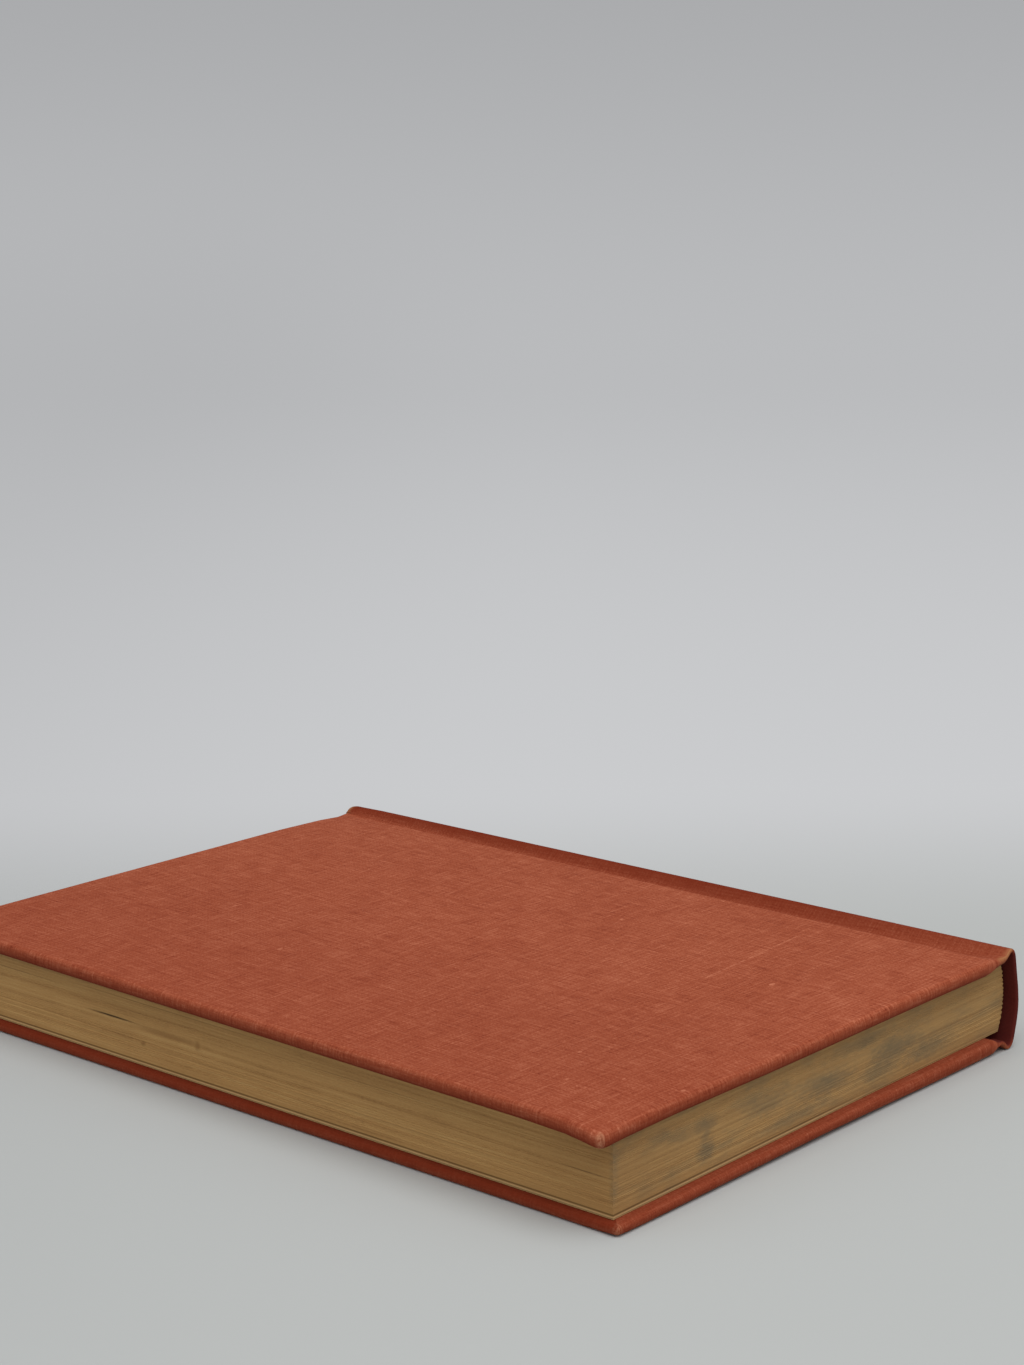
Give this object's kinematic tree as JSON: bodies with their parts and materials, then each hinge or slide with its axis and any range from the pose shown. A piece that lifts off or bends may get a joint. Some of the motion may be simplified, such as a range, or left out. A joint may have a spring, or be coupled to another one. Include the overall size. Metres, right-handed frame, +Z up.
{
  "type": "hardback book",
  "caption": "Cloth-covered hardback book lying closed: block of leaves in a case of two hinged board covers and a hollow ridged spine.",
  "frame": {"origin": "centre of the closed book's bounding box, on the surface it lies on", "axes": "+X from the spine to the fore-edge, +Y from the tail to the head, +Z up through the front cover"},
  "size_m": [0.1502, 0.2134, 0.0242],
  "materials": {
    "book_cloth": "rust-red natural-finish book cloth, fine linen weave",
    "page_edges": "trimmed leaf edges, toned golden brown",
    "endpaper": "uncoated cream endpaper",
    "grey_board": "pressed grey board",
    "lining_paper": "brown kraft lining paper",
    "mull": "open-weave cotton gauze sized with glue",
    "thread": "linen sewing thread"
  },
  "bodies": {
    "book_block": {"text_block": "page_edges", "sewing_thread": "thread", "front_flyleaf": "endpaper", "back_flyleaf": "endpaper", "spine_mull": "mull", "spine_lining_paper": "lining_paper", "spine_cloth": "book_cloth", "spine_inlay": "grey_board"},
    "front_cover": {"front_board": "grey_board", "front_cover_cloth": "book_cloth", "front_pastedown": "endpaper"},
    "back_cover": {"back_board": "grey_board", "back_cover_cloth": "book_cloth", "back_pastedown": "endpaper"}
  },
  "joints": [
    {"name": "front_cover_hinge", "type": "hinge", "parent": "book_block", "child": "front_cover", "pos_m": [-0.07004, 0, 0.02127], "axis": [0, -1, 0], "range_deg": [0, 180]},
    {"name": "back_cover_hinge", "type": "hinge", "parent": "book_block", "child": "back_cover", "pos_m": [-0.07004, 0, 0.004], "axis": [0, 1, 0], "range_deg": [0, 180]}
  ]
}
